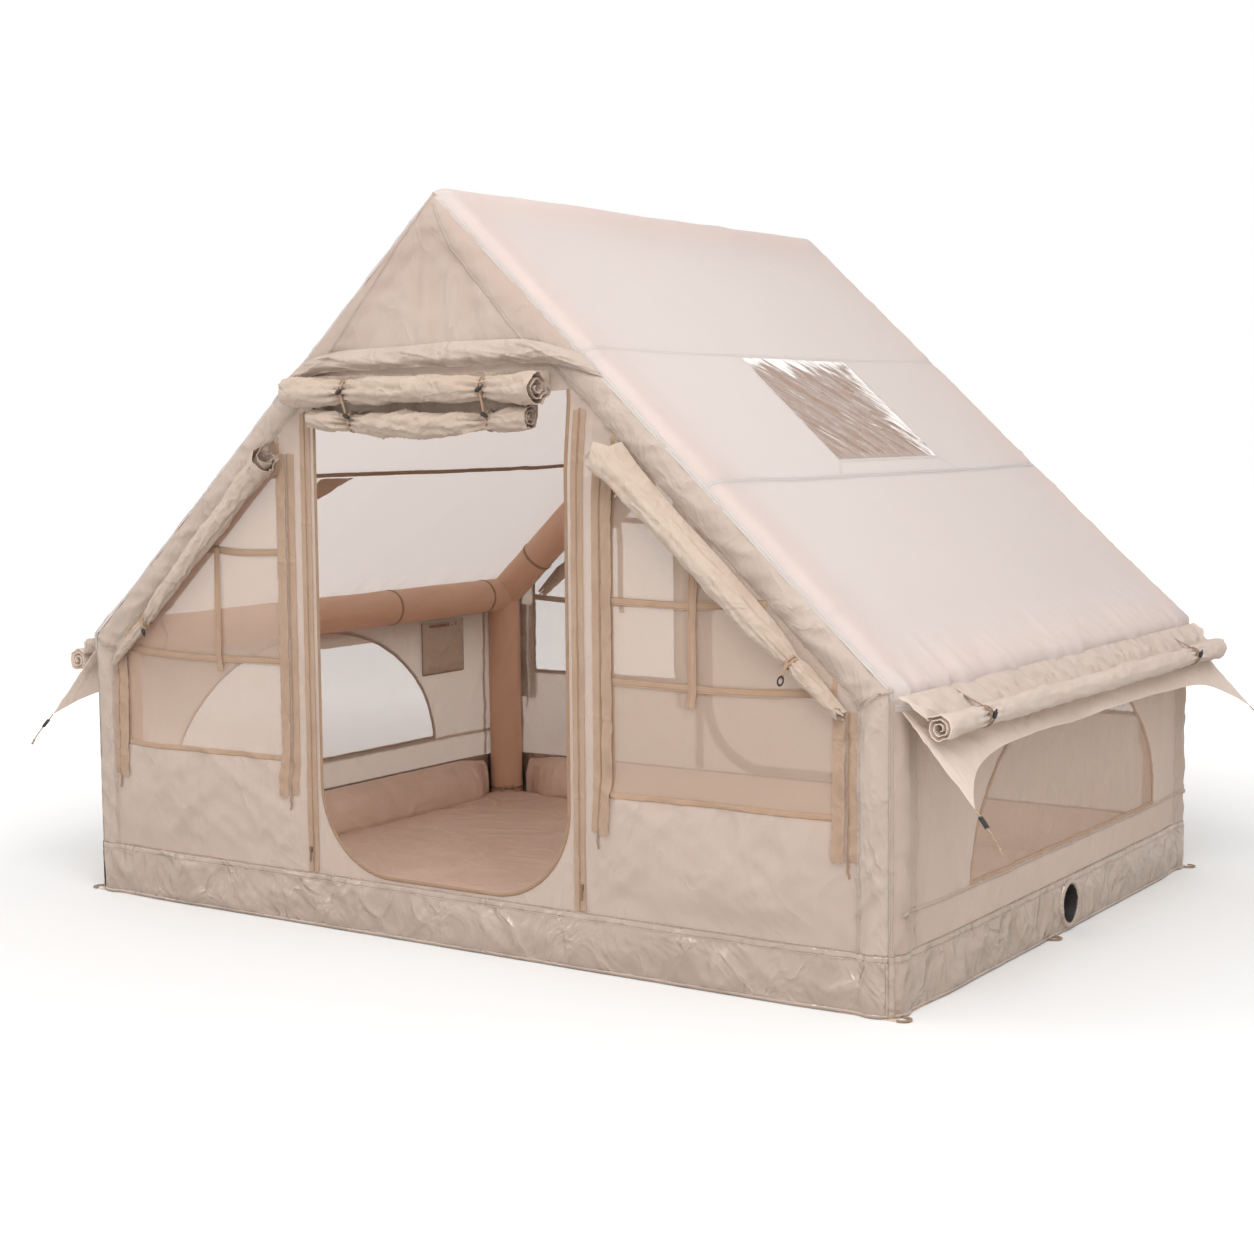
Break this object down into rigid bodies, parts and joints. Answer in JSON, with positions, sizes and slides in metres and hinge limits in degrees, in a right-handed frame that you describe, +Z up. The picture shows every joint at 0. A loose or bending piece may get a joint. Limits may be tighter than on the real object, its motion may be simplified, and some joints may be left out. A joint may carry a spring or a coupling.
{
  "type": "inflatable cabin tent",
  "caption": "Pitched-roof cabin tent on mitred air beams, with guyed side awnings, mesh windows, a clear skylight, a tub floor and a rolled-up front door.",
  "frame": {"origin": "centre of the groundsheet's underside, on the ground", "axes": "+X to the right side as seen from the front, +Y from the front door to the rear door, +Z up"},
  "size_m": [3.574, 2.4567, 2.24],
  "materials": {
    "canvas": "matte woven polyester cotton",
    "roof_cloth": "matte coated polyester",
    "tube_sleeve": "matte sleeve over an air bladder",
    "coated_skirt": "silvery coated cloth",
    "floor_cloth": "satin coated groundsheet",
    "insect_mesh": "fine insect mesh",
    "clear_film": "clear soft film",
    "webbing": "woven webbing",
    "black_plastic": "moulded",
    "valve_plastic": "moulded",
    "zip_metal": "satin"
  },
  "bodies": {
    "tent": {"door_roll": "canvas", "door_surround": "webbing", "eave_beam_left": "tube_sleeve", "eave_beam_right": "tube_sleeve", "front_gable": "canvas", "front_sleeve_left": "canvas", "front_sleeve_right": "canvas", "front_wall_left": "canvas", "front_wall_right": "canvas", "front_window_left": "insect_mesh", "front_window_right": "insect_mesh", "front_window_roll_left": "canvas", "front_window_roll_right": "canvas", "groundsheet": "floor_cloth", "inflation_valve": "valve_plastic", "mesh_door_roll": "insect_mesh", "post_front_left": "tube_sleeve", "post_front_right": "tube_sleeve", "post_rear_left": "tube_sleeve", "post_rear_right": "tube_sleeve", "rafter_front_left": "tube_sleeve", "rafter_front_right": "tube_sleeve", "rafter_rear_left": "tube_sleeve", "rafter_rear_right": "tube_sleeve", "rear_door": "canvas", "rear_gable": "canvas", "rear_wall": "canvas", "rear_window_left": "insect_mesh", "rear_window_right": "insect_mesh", "ridge_beam": "tube_sleeve", "roof_left": "roof_cloth", "roof_right": "roof_cloth", "side_roll_left": "canvas", "side_roll_right": "canvas", "side_wall_left": "canvas", "side_wall_right": "canvas", "side_window_left": "insect_mesh", "side_window_right": "insect_mesh", "skirt_front": "coated_skirt", "skirt_left": "coated_skirt", "skirt_rear": "coated_skirt", "skirt_right": "coated_skirt", "skylight": "clear_film"},
    "left_awning": {"awning_left": "roof_cloth", "guy_cord_front_left": "webbing", "guy_cord_rear_left": "webbing"},
    "right_awning": {"awning_right": "roof_cloth", "guy_cord_front_right": "webbing", "guy_cord_rear_right": "webbing"},
    "front_left_runner": {"guy_runner_front_left": "black_plastic"},
    "front_right_runner": {"guy_runner_front_right": "black_plastic"},
    "rear_left_runner": {"guy_runner_rear_left": "black_plastic"},
    "rear_right_runner": {"guy_runner_rear_right": "black_plastic"},
    "left_door_slider": {"door_zip_slider_left": "zip_metal"},
    "right_door_slider": {"door_zip_slider_right": "zip_metal"},
    "left_window_slider": {"window_zip_slider_left": "zip_metal"},
    "right_window_slider": {"window_zip_slider_right": "zip_metal"},
    "rear_slider": {"rear_zip_slider": "zip_metal"},
    "cap": {"valve_cap": "valve_plastic"}
  },
  "joints": [
    {"name": "left_awning_swing", "type": "hinge", "parent": "tent", "child": "left_awning", "pos_m": [-1.5014, 0, 0.81], "axis": [0, -1, 0], "range_deg": [0, 34]},
    {"name": "right_awning_swing", "type": "hinge", "parent": "tent", "child": "right_awning", "pos_m": [1.5014, 0, 0.81], "axis": [0, 1, 0], "range_deg": [0, 34]},
    {"name": "front_left_runner_slide", "type": "slide", "parent": "left_awning", "child": "front_left_runner", "axis": [-0.6598, -0.165, -0.7331], "range_m": [-0.022, 0.015]},
    {"name": "front_right_runner_slide", "type": "slide", "parent": "right_awning", "child": "front_right_runner", "axis": [0.6598, -0.165, -0.7331], "range_m": [-0.022, 0.015]},
    {"name": "rear_left_runner_slide", "type": "slide", "parent": "left_awning", "child": "rear_left_runner", "axis": [-0.6598, 0.165, -0.7331], "range_m": [-0.022, 0.015]},
    {"name": "rear_right_runner_slide", "type": "slide", "parent": "right_awning", "child": "rear_right_runner", "axis": [0.6598, 0.165, -0.7331], "range_m": [-0.022, 0.015]},
    {"name": "left_door_zip", "type": "slide", "parent": "tent", "child": "left_door_slider", "axis": [0, 0, 1], "range_m": [0, 1.32]},
    {"name": "right_door_zip", "type": "slide", "parent": "tent", "child": "right_door_slider", "axis": [0, 0, 1], "range_m": [0, 1.32]},
    {"name": "left_window_zip", "type": "slide", "parent": "tent", "child": "left_window_slider", "axis": [0, 0, 1], "range_m": [0, 0.88]},
    {"name": "right_window_zip", "type": "slide", "parent": "tent", "child": "right_window_slider", "axis": [0, 0, 1], "range_m": [0, 0.88]},
    {"name": "rear_door_zip", "type": "slide", "parent": "tent", "child": "rear_slider", "axis": [0, 0, 1], "range_m": [0, 1]},
    {"name": "cap_hinge", "type": "hinge", "parent": "tent", "child": "cap", "pos_m": [-1.4254, -0.9771, 0.339], "axis": [1, 0, 0], "range_deg": [0, 150]}
  ]
}
